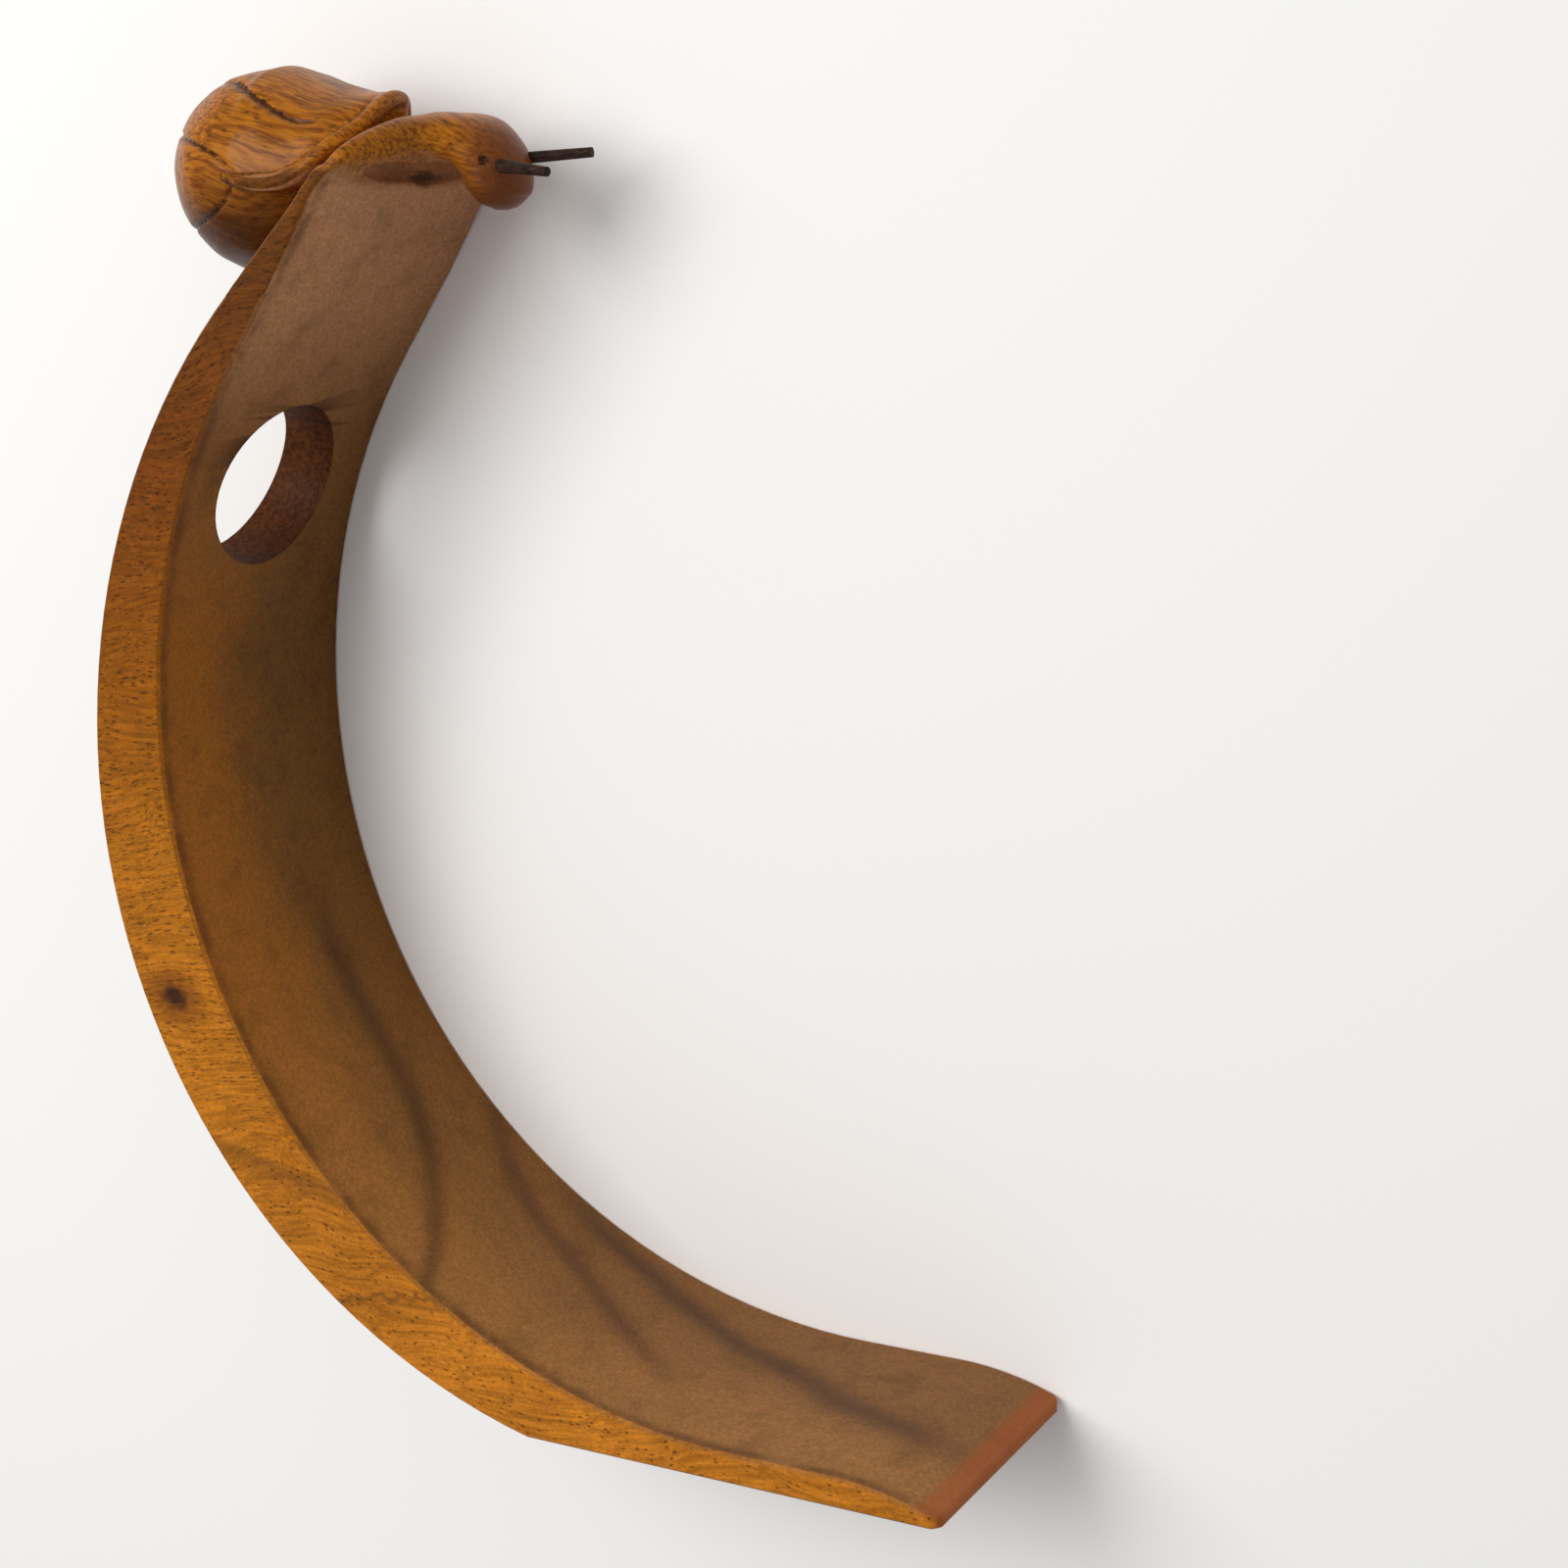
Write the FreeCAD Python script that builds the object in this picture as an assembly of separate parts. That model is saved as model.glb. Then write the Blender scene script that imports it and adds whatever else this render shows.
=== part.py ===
import FreeCAD, Part
import math
import os

# Balancing bottle holder: a wooden arc with a snail carved on its upper end, from one board,
# and two small sticks pushed into the head as feelers.
# The board lies flat, as the empty holder does: x along the foot, y up when in use, z across the board.
# Lengths are in millimetres and angles in degrees.

# Board and arc
BOARD = 56.2            # width of the arc, which is the board's thickness
ARC_R = 124.8           # outer arc, from the sole up to the shoulder
SOLE_DIP = 3.2          # how far the outer arc would pass below the flat sole
SHOULDER_ANGLE = 175.5  # where the outer arc opens out above the back
SHOULDER_EXTRA = 11.4   # how much larger its radius is from there
HOLLOW_EXTRA = 0.5      # inner arc's radius over the outer one's
BACK_WALL = 18.0        # thickness at the back
FOOT_WALL = 6.1         # thickness where the inner arc is lowest
THROAT_ANGLE = 143.0    # where the inner face goes on straight
ARC_TOP = 240.8         # height of the inner face's upper edge
CREST_WALL = 3.6        # thickness of the arc at that edge
CREST_LEAN = 42.0       # slope of the outer face under the shell
FOOT_LENGTH = 42.7      # from where the inner arc is lowest to the toe
TOE_TAPER = 24.0        # length over which the toe thins
TOE_THICK = 2.4         # thickness left at the toe
TOE_NOSE = 0.24         # how far the toe bulges out
TOE_NOSE_UP = 1.08      # height of that bulge
TOE_TOP_BACK = 1.32     # from the toe back to where its rounding meets the upper face
TAPER_BOW_BACK = 10.1   # point that the taper's bowed face runs through: back from the toe
TAPER_BOW_UP = 4.9      # and its height
TOE_CORNER = 4.0        # rounding of the toe's corners in plan
ARRIS = 0.6             # bevel along the arc's long edges

# Hole for the bottle's neck
HOLE_R = 17.0
HOLE_HEIGHT = 182.4     # height of its axis at the inner face
HOLE_TILT = 10.0        # its axis rises this much towards the back

# Shell, placed from the inner face's upper edge
SHELL_BACK = 31.8       # from that edge back to the shell's middle
SHELL_RISE = 2.7        # and up
SHELL_R = 20.3
HOOD_SECTIONS = [        # forward, up, half height, half width, squareness
    (-26.6, 4.7, 17.4, 18.9, 2.0),
    (-18.6, 10.2, 10.4, 18.2, 2.5),
    (-12.0, 10.7, 8.0, 15.6, 3.0),
    (-7.0, 12.4, 5.4, 10.0, 2.8),
    (-3.0, 14.2, 3.0, 5.0, 2.4),
    (-0.8, 14.8, 2.0, 2.4, 2.0),
]
LIP_PLACES = [           # forward, up, to the side, size
    (-27.8, 2.3, 20.2, 0.5),
    (-22.6, 1.1, 19.6, 0.9),
    (-17.0, 1.6, 18.0, 1.0),
    (-12.0, 4.8, 14.2, 1.0),
    (-7.6, 9.6, 9.2, 1.0),
    (-3.4, 14.2, 4.4, 1.0),
    (-1.2, 16.0, 0.0, 0.9),
]
LIP_HALF = 1.7          # half height of the band along the hood's lip
SADDLE_R = 12.0         # wood that joins the shell to the arc, inside the undercut
SADDLE_END_R = 5.6
SADDLE_DEEP = 8.0       # how far it reaches into the shell
SADDLE_STOP = 6.0       # how far it stops short of the inner face's upper edge
GROOVE_HALF = 0.8       # half width of a groove at its widest
GROOVE_DEEP = 0.7
GROOVE_ROUTES = [        # forward, up
    [(-40.2, 19.6), (-35.4, 19.9), (-30.4, 18.6), (-25.4, 16.3), (-20.0, 13.5), (-15.4, 11.4), (-11.0, 11.0)],
    [(-49.0, 11.2), (-42.4, 9.8), (-34.8, 7.6), (-30.0, 5.2), (-26.5, 2.2)],
    [(-26.5, 2.0), (-31.1, -3.0), (-37.0, -5.6), (-44.4, -7.4), (-49.5, -9.4)],
]

# Neck and head, placed from the same edge
NECK_SECTIONS = [        # forward, up, slope, half height, half width, squareness
    (-4.5, -1.0, 52, 2.0, 27.2, 4.0),
    (1.0, 4.0, 42, 3.4, 27.2, 4.0),
    (6.4, 7.4, 10, 4.8, 21.5, 3.4),
    (11.2, 7.9, -10, 4.0, 12.6, 2.8),
    (16.4, 6.0, -28, 5.2, 9.2, 2.1),
    (20.6, 2.6, -48, 6.4, 8.4, 2.0),
    (22.5, -2.4, -74, 6.3, 7.6, 2.0),
    (22.0, -5.6, -88, 1.0, 1.3, 2.0),
]
HEAD_FORWARD = 19.3     # from that edge to the head's middle
HEAD_RISE = 1.6
SCOOP_R = 3.4           # hollow between the inner face and the neck
SCOOP_WIDE = 18.0       # half its width
SCOOP_FORWARD = 5.6
SCOOP_UP = 1.6
SCOOP_SECTIONS = [       # place across the width, size
    (-1.0, 0.1), (-0.7, 0.6), (-0.25, 1.0), (0.25, 1.0), (0.7, 0.6), (1.0, 0.1),
]
EYE_R = 1.0
EYE_DEEP = 0.7
EYE_FORWARD = 3.0       # from the head's middle to each eye
EYE_RISE = 1.3
EYE_APART = 7.05        # from the middle of the head to where an eye's dimple starts

# Feelers: bare sticks, each in a blind hole
FEELER_OUT = 12.0       # length that shows
FEELER_SEAT = 5.0       # length in the head
FEELER_FORWARD = 4.9    # from the head's middle to each root
FEELER_APART = 5.0      # and to the side
FAR_ROOT_RISE = 1.6     # how much higher the far one's root is
FEELER_SPLAY = 12.5
FEELER_FIT = 0.05       # gap round a feeler in its hole
NEAR_ROOT_R = 1.4
NEAR_TIP_R = 0.9
NEAR_SLOPE = -7.0
FAR_ROOT_R = 1.15
FAR_TIP_R = 0.95
FAR_SLOPE = 2.0


def vec(x, y, z=0.0):
    return FreeCAD.Vector(x, y, z)


def polar(centre, radius, degrees):
    a = math.radians(degrees)
    return vec(centre.x + radius * math.cos(a), centre.y + radius * math.sin(a))


MID = BOARD / 2
OUTER = vec(ARC_R, ARC_R - SOLE_DIP)
SHOULDER = polar(OUTER, -SHOULDER_EXTRA, SHOULDER_ANGLE)
SHOULDER_R = ARC_R + SHOULDER_EXTRA
INNER_R = ARC_R + HOLLOW_EXTRA
INNER = vec(BACK_WALL + INNER_R, FOOT_WALL + INNER_R)
TOE = INNER.x + FOOT_LENGTH


def upper_edge():
    # end of the inner face, on the tangent that leaves its arc at THROAT_ANGLE
    start = polar(INNER, INNER_R, THROAT_ANGLE)
    a = math.radians(THROAT_ANGLE)
    run = (ARC_TOP - start.y) / -math.cos(a)
    return vec(start.x + run * math.sin(a), ARC_TOP)


EDGE = upper_edge()
SHELL_MID = vec(EDGE.x - SHELL_BACK, EDGE.y + SHELL_RISE, MID)
EDGE_MID = vec(EDGE.x, EDGE.y, MID)
HEAD_MID = vec(EDGE.x + HEAD_FORWARD, EDGE.y + HEAD_RISE, MID)


def arc(centre, radius, first, last):
    ends = [polar(centre, radius, a) for a in (first, (first + last) / 2, last)]
    return Part.Arc(*ends).toShape()


def line(a, b):
    return Part.LineSegment(a, b).toShape()


def arc_profile():
    heel = vec(OUTER.x - math.sqrt(ARC_R ** 2 - OUTER.y ** 2), 0)
    heel_angle = math.degrees(math.atan2(-OUTER.y, heel.x - OUTER.x)) % 360
    toe_low = vec(TOE, 0)
    toe_nose = vec(TOE + TOE_NOSE, TOE_NOSE_UP)
    toe_top = vec(TOE - TOE_TOP_BACK, TOE_THICK)
    bow = vec(TOE - TAPER_BOW_BACK, TAPER_BOW_UP)
    taper = vec(TOE - TOE_TAPER, FOOT_WALL)
    lean = math.radians(CREST_LEAN)
    crest = vec(EDGE.x - CREST_WALL * math.sin(lean), EDGE.y + CREST_WALL * math.cos(lean))
    shoulder_end = 90 + CREST_LEAN
    edges = [
        line(heel, toe_low),
        Part.Arc(toe_low, toe_nose, toe_top).toShape(),
        Part.Arc(toe_top, bow, taper).toShape(),
        line(taper, polar(INNER, INNER_R, 270)),
        arc(INNER, INNER_R, 270, THROAT_ANGLE),
        line(polar(INNER, INNER_R, THROAT_ANGLE), EDGE),
        line(EDGE, crest),
        line(crest, polar(SHOULDER, SHOULDER_R, shoulder_end)),
        arc(SHOULDER, SHOULDER_R, shoulder_end, SHOULDER_ANGLE),
        arc(OUTER, ARC_R, SHOULDER_ANGLE, heel_angle),
    ]
    return Part.Wire(Part.__sortEdges__(edges))


def long_edges(blank):
    # edges of the two side faces, apart from the short ones at the toe and the crest
    shortest = 3 * TOE_THICK
    picked = []
    for edge in blank.Edges:
        box = edge.BoundBox
        if box.ZLength < 0.001 and edge.Length > shortest and box.YMax < EDGE.y + 0.001:
            picked.append(edge)
    return picked


def toe_corner(side):
    # what is cut off a corner of the toe; side 0 is the lower face, 1 the upper
    size = TOE_CORNER
    nose = TOE + TOE_NOSE * 1.5
    tall = FOOT_WALL * 3
    z = side * (BOARD - size)
    block = Part.makeBox(size * 2, tall, size * 1.5, vec(nose - size, -tall / 3, z - size * 0.5 * (1 - side)))
    round_z = BOARD - size if side else size
    rod = Part.makeCylinder(size, tall * 2, vec(nose - size, -tall, round_z), vec(0, 1, 0))
    return block.cut(rod)


def arc_blank():
    blank = Part.Face(arc_profile()).extrude(vec(0, 0, BOARD))
    blank = blank.makeChamfer(ARRIS, long_edges(blank))
    return blank.cut([toe_corner(0), toe_corner(1)])


def neck_hole():
    a = math.radians(HOLE_TILT)
    face_x = INNER.x - math.sqrt(INNER_R ** 2 - (HOLE_HEIGHT - INNER.y) ** 2)
    reach = HOLE_R * 3
    way = vec(-math.cos(a), math.sin(a))
    start = vec(face_x, HOLE_HEIGHT, MID) - way * reach
    return Part.makeCylinder(HOLE_R, reach * 2.2, start, way)


def ring(middle, out, aside, half_out, half_aside, square, count=8):
    # control points round a rounded section; square 2 makes it an ellipse
    grow = 6 / (4 + 2 * math.cos(2 * math.pi / count))
    points = []
    for step in range(count):
        t = 2 * math.pi * (step + 0.5) / count
        over = half_out * grow * math.copysign(abs(math.cos(t)) ** (2 / square), math.cos(t))
        beside = half_aside * grow * math.copysign(abs(math.sin(t)) ** (2 / square), math.sin(t))
        points.append(middle + out * over + aside * beside)
    return points


def surface_over(poles, closed, degree):
    # smooth along the rows; across them closed and smooth, or open and straight
    count = len(poles)
    spans = len(poles[0]) - 3
    across = [1] * (count + 1) if closed else [2, 2]
    surface = Part.BSplineSurface()
    surface.buildFromPolesMultsKnots(
        poles, across, [4] + [1] * (spans - 1) + [4],
        list(range(len(across))), list(range(spans + 1)), closed, False, degree, 3)
    return surface


def body_over(surfaces):
    # solid between the surfaces, flat at both ends
    faces = [surface.toShape() for surface in surfaces]
    last = surfaces[0].getVKnots()[-1]
    for v in (0, last):
        faces.append(Part.Face(Part.Wire([surface.vIso(v).toShape() for surface in surfaces])))
    shell = Part.makeShell(faces)
    shell.sewShape()
    body = Part.makeSolid(shell)
    if body.Volume < 0:
        body.reverse()
    return body


def skin(rows):
    # smooth body over rows of control points
    poles = [[row[i] for row in rows] for i in range(len(rows[0]))]
    return body_over([surface_over(poles, True, 3)])


def band(rows):
    # body with sharp edges, one along each corner of the rows
    around = len(rows[0])
    sides = []
    for i in range(around):
        poles = [[row[i] for row in rows], [row[(i + 1) % around] for row in rows]]
        sides.append(surface_over(poles, False, 1))
    return body_over(sides)


def from_edge(forward, up, side=0.0):
    return vec(EDGE.x + forward, EDGE.y + up, MID + side)


def oval(forward, up, slope, half_high, half_wide, square):
    # section square to a path that runs at this slope in the side view
    a = math.radians(slope)
    return ring(from_edge(forward, up), vec(-math.sin(a), math.cos(a)), vec(0, 0, 1), half_high, half_wide, square)


def neck_and_head():
    # its root is as wide as the board, so its flanks run on from the arc's sides
    slab = Part.makeBox(HEAD_FORWARD * 4, HEAD_FORWARD * 4, BOARD, vec(EDGE.x - HEAD_FORWARD, EDGE.y - HEAD_FORWARD))
    return skin([oval(*section) for section in NECK_SECTIONS]).common(slab)


def shell_body(inset):
    # round shell with its front drawn out over the neck; inset makes it smaller all round
    rows = []
    for forward, up, half_high, half_wide, square in HOOD_SECTIONS:
        rows.append(oval(forward, up, 0, half_high - inset, half_wide - inset, square))
    return Part.makeSphere(SHELL_R - inset, SHELL_MID, EDGE_MID - SHELL_MID).fuse(skin(rows))


def saddle():
    # wood left between the shell and the arc, inside the undercut
    way = (EDGE_MID - SHELL_MID).normalize()
    start = SHELL_MID + way * (SHELL_R - SADDLE_DEEP)
    length = (EDGE_MID - start).Length - SADDLE_STOP
    return Part.makeCone(SADDLE_R, SADDLE_END_R, length, start, way)


def lip():
    # raised band from the shell's near side, over the hood's front, to its far side
    near = [(from_edge(forward, up, side), size) for forward, up, side, size in LIP_PLACES]
    far = [(from_edge(forward, up, -side), size) for forward, up, side, size in reversed(LIP_PLACES[:-1])]
    places = near + far
    rows = []
    for number, (place, size) in enumerate(places):
        before = places[max(number - 1, 0)][0]
        after = places[min(number + 1, len(places) - 1)][0]
        heading = (after - before).normalize()
        aside = heading.cross(vec(0, 1, 0)).normalize() * LIP_HALF * size
        over = aside.cross(heading)
        rows.append([place + over + aside, place - over + aside, place - over - aside, place + over - aside])
    return band(rows)


def groove(places):
    # upright sheet that follows a route in the side view and narrows to nothing at both ends
    route = Part.BSplineCurve()
    route.interpolate(Points=[from_edge(*place) for place in places])
    steps = 2 * len(places)
    sides = ([], [])
    for step in range(steps + 1):
        t = route.FirstParameter + (route.LastParameter - route.FirstParameter) * step / steps
        half = GROOVE_HALF * math.sqrt(math.sin(math.pi * step / steps)) if 0 < step < steps else 0.0
        across = route.tangent(t)[0].cross(vec(0, 0, 1))
        sides[0].append(route.value(t) + across * half)
        sides[1].append(route.value(t) - across * half)
    edges = []
    for points in sides:
        curve = Part.BSplineCurve()
        curve.interpolate(Points=points)
        edges.append(curve.toShape())
    return Part.Face(Part.Wire(edges)).extrude(vec(0, 0, BOARD))


def mirrored(shape):
    return shape.mirror(vec(0, 0, MID), vec(0, 0, 1))


def grooved_shell():
    core = shell_body(GROOVE_DEEP)
    near = [groove(places) for places in GROOVE_ROUTES]
    tools = [tool.cut(core) for tool in near + [mirrored(tool) for tool in near]]
    return shell_body(0.0).cut(tools)


def feeler(side, rise_at_root, root_r, tip_r, slope, gap):
    # side is 1 for the near one, -1 for the far one
    splay = math.radians(FEELER_SPLAY)
    rise = math.radians(slope)
    way = vec(math.cos(splay) * math.cos(rise), math.sin(rise), side * math.sin(splay) * math.cos(rise))
    root = HEAD_MID + vec(FEELER_FORWARD, rise_at_root, side * FEELER_APART)
    start = root - way * FEELER_SEAT
    length = FEELER_SEAT + FEELER_OUT
    return Part.makeCone(root_r + gap, tip_r + gap, length, start, way)


def feelers(gap):
    near = feeler(1, 0.0, NEAR_ROOT_R, NEAR_TIP_R, NEAR_SLOPE, gap)
    far = feeler(-1, FAR_ROOT_RISE, FAR_ROOT_R, FAR_TIP_R, FAR_SLOPE, gap)
    return near, far


def eyes():
    tools = []
    for side in (1, -1):
        middle = HEAD_MID + vec(EYE_FORWARD, EYE_RISE, side * (EYE_APART + EYE_R - EYE_DEEP))
        tools.append(Part.makeSphere(EYE_R, middle))
    return tools


def scoop_tool():
    # hollow between the inner face and the neck, shallower towards the sides
    rows = []
    for place, size in SCOOP_SECTIONS:
        side = place * SCOOP_WIDE
        rows.append(ring(from_edge(SCOOP_FORWARD, SCOOP_UP, side), vec(1, 0), vec(0, 1), SCOOP_R * size,
                         SCOOP_R * size, 2, 6))
    return skin(rows)


def carved_wood():
    wood = arc_blank().cut(neck_hole())
    wood = wood.fuse([grooved_shell(), lip(), saddle(), neck_and_head()])
    scoop = scoop_tool()
    return wood.cut([scoop] + list(feelers(FEELER_FIT)) + eyes())


wood = carved_wood()
near_feeler, far_feeler = feelers(0.0)
nodes = {"carved_holder": wood, "near_feeler": near_feeler, "far_feeler": far_feeler}

# the origin is under the middle of the whole piece
whole = Part.makeCompound(list(nodes.values())).optimalBoundingBox(False)
shift = vec(-whole.Center.x, -whole.Center.y, -whole.ZMin)

os.makedirs("parts", exist_ok=True)
for name, shape in nodes.items():
    shape.translate(shift)
    shape.exportStep("parts/" + name + ".step")
    print(name, shape.isValid(), len(shape.Solids), round(shape.Volume, 1), len(shape.Faces))
print("shift", shift)
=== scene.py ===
import math

import bmesh
import bpy
import numpy as np
from mathutils import Matrix, Vector


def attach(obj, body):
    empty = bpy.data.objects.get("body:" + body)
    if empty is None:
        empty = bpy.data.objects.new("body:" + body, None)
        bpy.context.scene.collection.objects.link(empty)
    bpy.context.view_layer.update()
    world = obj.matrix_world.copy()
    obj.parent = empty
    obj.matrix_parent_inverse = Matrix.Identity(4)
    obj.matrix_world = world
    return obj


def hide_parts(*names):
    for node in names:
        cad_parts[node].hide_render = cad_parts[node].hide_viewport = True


MM = 0.001

# Row frame: x along the foot, y up when in use, z across the board. The scene is in metres.
BOARD = 56.2 * MM
MID = BOARD / 2

# Camera of the photo, in the row frame
CAM_AZIMUTH = 29.763
CAM_RISE = 12.083
CAM_ROLL = -2.305
CAM_DISTANCE = 489.04 * MM
CAM_TARGET = Vector((51.562 * MM, -3.44 * MM, MID))
CAM_LENS = 60.53
SENSOR = 36.0

# Places in the wood, in millimetres
EDGE = (-24.29, 108.9)              # upper edge of the inner face, in the side view
FACE_OUT = (0.799, -0.602)          # way that the straight part of the inner face looks
INNER_MID = (50.17, -0.5)           # middle of the inner face's arc
SHELL_MID = (-56.09, 111.6, 28.1)
SHELL_REACH = 20.8                  # the shell's largest half size
BORE = (-70.15, 51.54, 28.1)        # middle of the neck's hole
BORE_ACROSS = (0.1736, 0.9848)      # way across the hole in the side view
BORE_R = 17.0
TOE_X = 93.1
KNOT = (-77.4, -51.2, 0.0)

# Colours as they look, 0 to 255, by height in millimetres
# the side face darkens towards the top: partly the wood's own tone, partly painted shade
SIDE_TONE_AND_SHADE_STOPS = [
    (-132, (194, 120, 34)), (-103, (192, 118, 32)), (-61, (186, 114, 28)), (-20, (174, 106, 24)),
    (8, (162, 94, 16)), (52, (124, 66, 12)), (104, (104, 58, 12)),
]
INNER_STOPS = [
    (-128, (140, 96, 60)), (-95, (138, 90, 46)), (-50, (122, 76, 34)), (20, (100, 64, 30)),
    (60, (120, 76, 42)), (85, (160, 112, 78)), (108, (172, 120, 88)),
]
GOLD_STOPS = [
    (-128, (160, 110, 66)), (-95, (166, 108, 52)), (-50, (164, 98, 34)), (20, (150, 86, 24)),
    (60, (134, 84, 42)), (85, (172, 122, 84)), (108, (184, 130, 92)),
]

# Colours as they look, 0 to 255
GREY_BROWN = (96, 62, 26)           # growth line and the band above the foot
KNOT_HALO = (104, 54, 20)
KNOT_CORE = (46, 28, 20)
OLIVE = (122, 96, 28)               # fine specks on the inner face
EDGE_STAIN = (72, 34, 14)           # along the inner face's near edge
TOE_END = (168, 86, 44)
SNAIL_DARK = (116, 60, 11)
SNAIL_GOLD = (184, 112, 27)
# painted shade on the lower shell, under the hood
SHELL_UNDER_SHADE = (56, 27, 9)
HEAD_RED = (98, 50, 28)
SNAIL_PORE = (48, 24, 12)
BORE_DARK = (58, 27, 9)
BORE_LIGHT = (94, 50, 20)
# painted shade in the carving's grooves, creases and hollows; in the eye pits also the eyes' own dark
CREASE_SHADE_COLOUR = (36, 16, 6)
STICK_DARK = (24, 15, 12)
STICK_LIGHT = (66, 45, 36)
FLOOR = (250, 250, 250)

# Fibres: how far they tilt in degrees, and their length, height and width in millimetres
SIDE_FIBRE = (5, (26, 0.9, 0.9))
SNAIL_FIBRE = (-14, (11, 0.8, 0.8))
STICK_FIBRE = (8, (9, 0.4, 0.4))
# Pores: tilt, size of the wood that has one, how thick a pore is in it, share that has one
LONG_PORES = (8, (4.2, 0.75, 0.75), 0.34, 0.8)
FINE_PORES = (5, (2.8, 0.6, 0.6), 0.34, 0.55)
SHORT_PORES = (-6, (2.2, 1.0, 1.0), 0.33, 0.62)
SNAIL_PORES = (-14, (3.6, 0.95, 0.95), 0.3, 0.4)
PORES_CHANGE = (-88, -66)           # heights between which short pores give way to long ones
GRAIN_DRIFT = (4, 14, 14)           # most that the grain wanders, along and across

# The growth line near the foot is a flat curve: height there, how fast it drops, where it is highest
RING_HEIGHT = -106.7
RING_DROP = 0.006
RING_PEAK_X = -14.0
RING_HALF = 0.8
RING_ENDS = (2, -12)                # it fades in between these places along the foot
BAND_LEAN = 0.22                    # the darker band behind the line drops forward by this much
BAND_HEIGHT = -96.5
BAND_ENDS = (-32, -40)
KNOT_SQUASH = (1.0, 1.25, 0.0)      # the knot is wider than it is high
KNOT_REACH = (10.5, 2.5)            # the halo fades between these distances
KNOT_DARK = (4.6, 1.2)

# Dark streaks of the inner face: (angle, place across) at the start, slope and bow across per degree,
# half width, first and last angle, depth, colour
STREAKS = [
    ((218, 19.8), 0.0, 0.105, 4.2, 200, 238, 0.55, (66, 40, 22)),
    ((228.3, 5.4), 1.094, 0.0, 3.4, 224, 256, 0.5, (74, 46, 36)),
    ((240.2, 3.5), 0.667, 0.0, 4.6, 238, 284, 0.6, (66, 46, 42)),
]

# The carving, in millimetres from the middle of the inner face's upper edge: forward, up, to the side.
# It is the shape of the solid with the soft forms that a knife leaves.
PITCH = 0.45                        # grid that the carving is made on
SEAM = 89.1                         # height in the row frame where the carving takes over from the board
SEAM_INSET = 0.3                    # the carving is this much slimmer below the seam, inside the board
SEAM_FADE = 0.5
SIDE_CLEAR = 0.002                  # the carving stays this far inside the board's two sides
CARVED_BOX = ((-55.0, 31.0), (-22.0, 25.8), 29.2)   # room for it: forward, up, and to each side
OUTER_MID = (67.33, -120.09)        # middle and radius of the outer face's arc
OUTER_R = 136.2
CREST = ((-23.81, -18.88), (-2.41, 2.68))   # the outer face's straight part
SHELL_AT = (-31.8, 2.7)
SHELL_RADII = (20.8, 19.8, 20.4)
# Arches of the hood: forward, lip's height, height over it, half width near and far, squareness
HOOD = [
    (-27.6, 2.0, 20.0, 19.4, 19.2, 2.0),
    (-18.6, 0.8, 19.0, 19.2, 18.2, 2.1),
    (-12.0, 3.0, 14.8, 17.6, 13.8, 2.1),
    (-7.0, 7.4, 9.4, 14.2, 8.6, 2.1),
    (-3.2, 11.0, 5.6, 10.4, 3.8, 2.0),
    (-1.4, 14.2, 1.8, 5.0, 1.5, 2.0),
]
HOOD_UNDER = 1.8                    # the hood's thickness below its lip
# The lip's rolled edge, from the near side over the top to the far side: place, and share of its radius
LIP = [
    (-29.0, 2.0, 19.8, 0.5), (-24.0, 0.9, 20.1, 0.9), (-17.6, 0.5, 19.6, 1.0), (-12.2, 2.4, 18.4, 1.05),
    (-7.2, 6.6, 15.6, 1.05), (-2.7, 10.4, 11.2, 1.0), (-1.5, 14.0, 6.2, 1.0), (-1.9, 15.3, 1.0, 0.95),
    (-4.6, 14.2, -4.6, 0.9), (-8.6, 9.8, -9.4, 0.9), (-12.8, 5.0, -14.2, 0.9), (-17.6, 1.6, -18.0, 0.9),
    (-22.6, 1.1, -19.6, 0.8), (-27.8, 2.3, -20.0, 0.5),
]
LIP_R = 1.55
# The neck from the board to the chin: place, half height, half width, squareness
NECK = [
    (-5.0, -2.4, 1.2, 27.6, 3.4), (-1.0, 1.0, 2.4, 27.4, 3.0), (3.0, 4.7, 3.9, 25.2, 2.5),
    (7.0, 7.0, 4.9, 20.0, 2.3), (11.4, 7.6, 4.4, 13.2, 2.2), (16.0, 6.0, 5.2, 9.6, 2.1),
    (18.9, 2.7, 5.9, 8.3, 2.0), (20.0, -1.4, 5.8, 7.4, 2.0), (20.0, -3.6, 4.9, 6.0, 2.0),
    (19.9, -5.3, 3.1, 4.1, 2.0), (19.8, -6.0, 1.3, 1.8, 2.0),
]
# Routes of the shell's grooves in the side view
GROOVES = [
    [(-40.2, 19.6), (-35.4, 19.9), (-30.4, 18.6), (-25.4, 16.3), (-20.0, 13.5), (-15.4, 11.4), (-11.0, 11.0)],
    [(-51.5, 11.8), (-47.0, 10.9), (-42.4, 9.8), (-34.8, 7.6), (-30.0, 5.2), (-26.5, 2.2)],
    [(-26.5, 2.0), (-31.1, -3.0), (-37.0, -5.6), (-44.4, -7.4), (-51.0, -9.4)],
]
GROOVE_WIDE = 0.46                  # half the width where a groove is a third as deep
GROOVE_DEEP = 0.8
# The snail's body under the shell, a tapered rod: its two ends and its radius at each
SADDLE = ((-20.0, 0.4), (-12.0, -1.2), 12.0, 6.4)
# Hollows under the neck: middle, half sizes, strength of the painted shade in them
SCOOPS = [((3.8, 2.1, 0.0), (5.2, 3.8, 19.0), 0.42), ((1.6, 0.1, -4.2), (3.0, 1.9, 4.8), 1.0)]
EYES = [(22.0, 3.0, 7.7), (22.0, 3.0, -7.7)]
EYE_R = 0.95
KNIFE = 0.07                        # depth of the knife's flats

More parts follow.
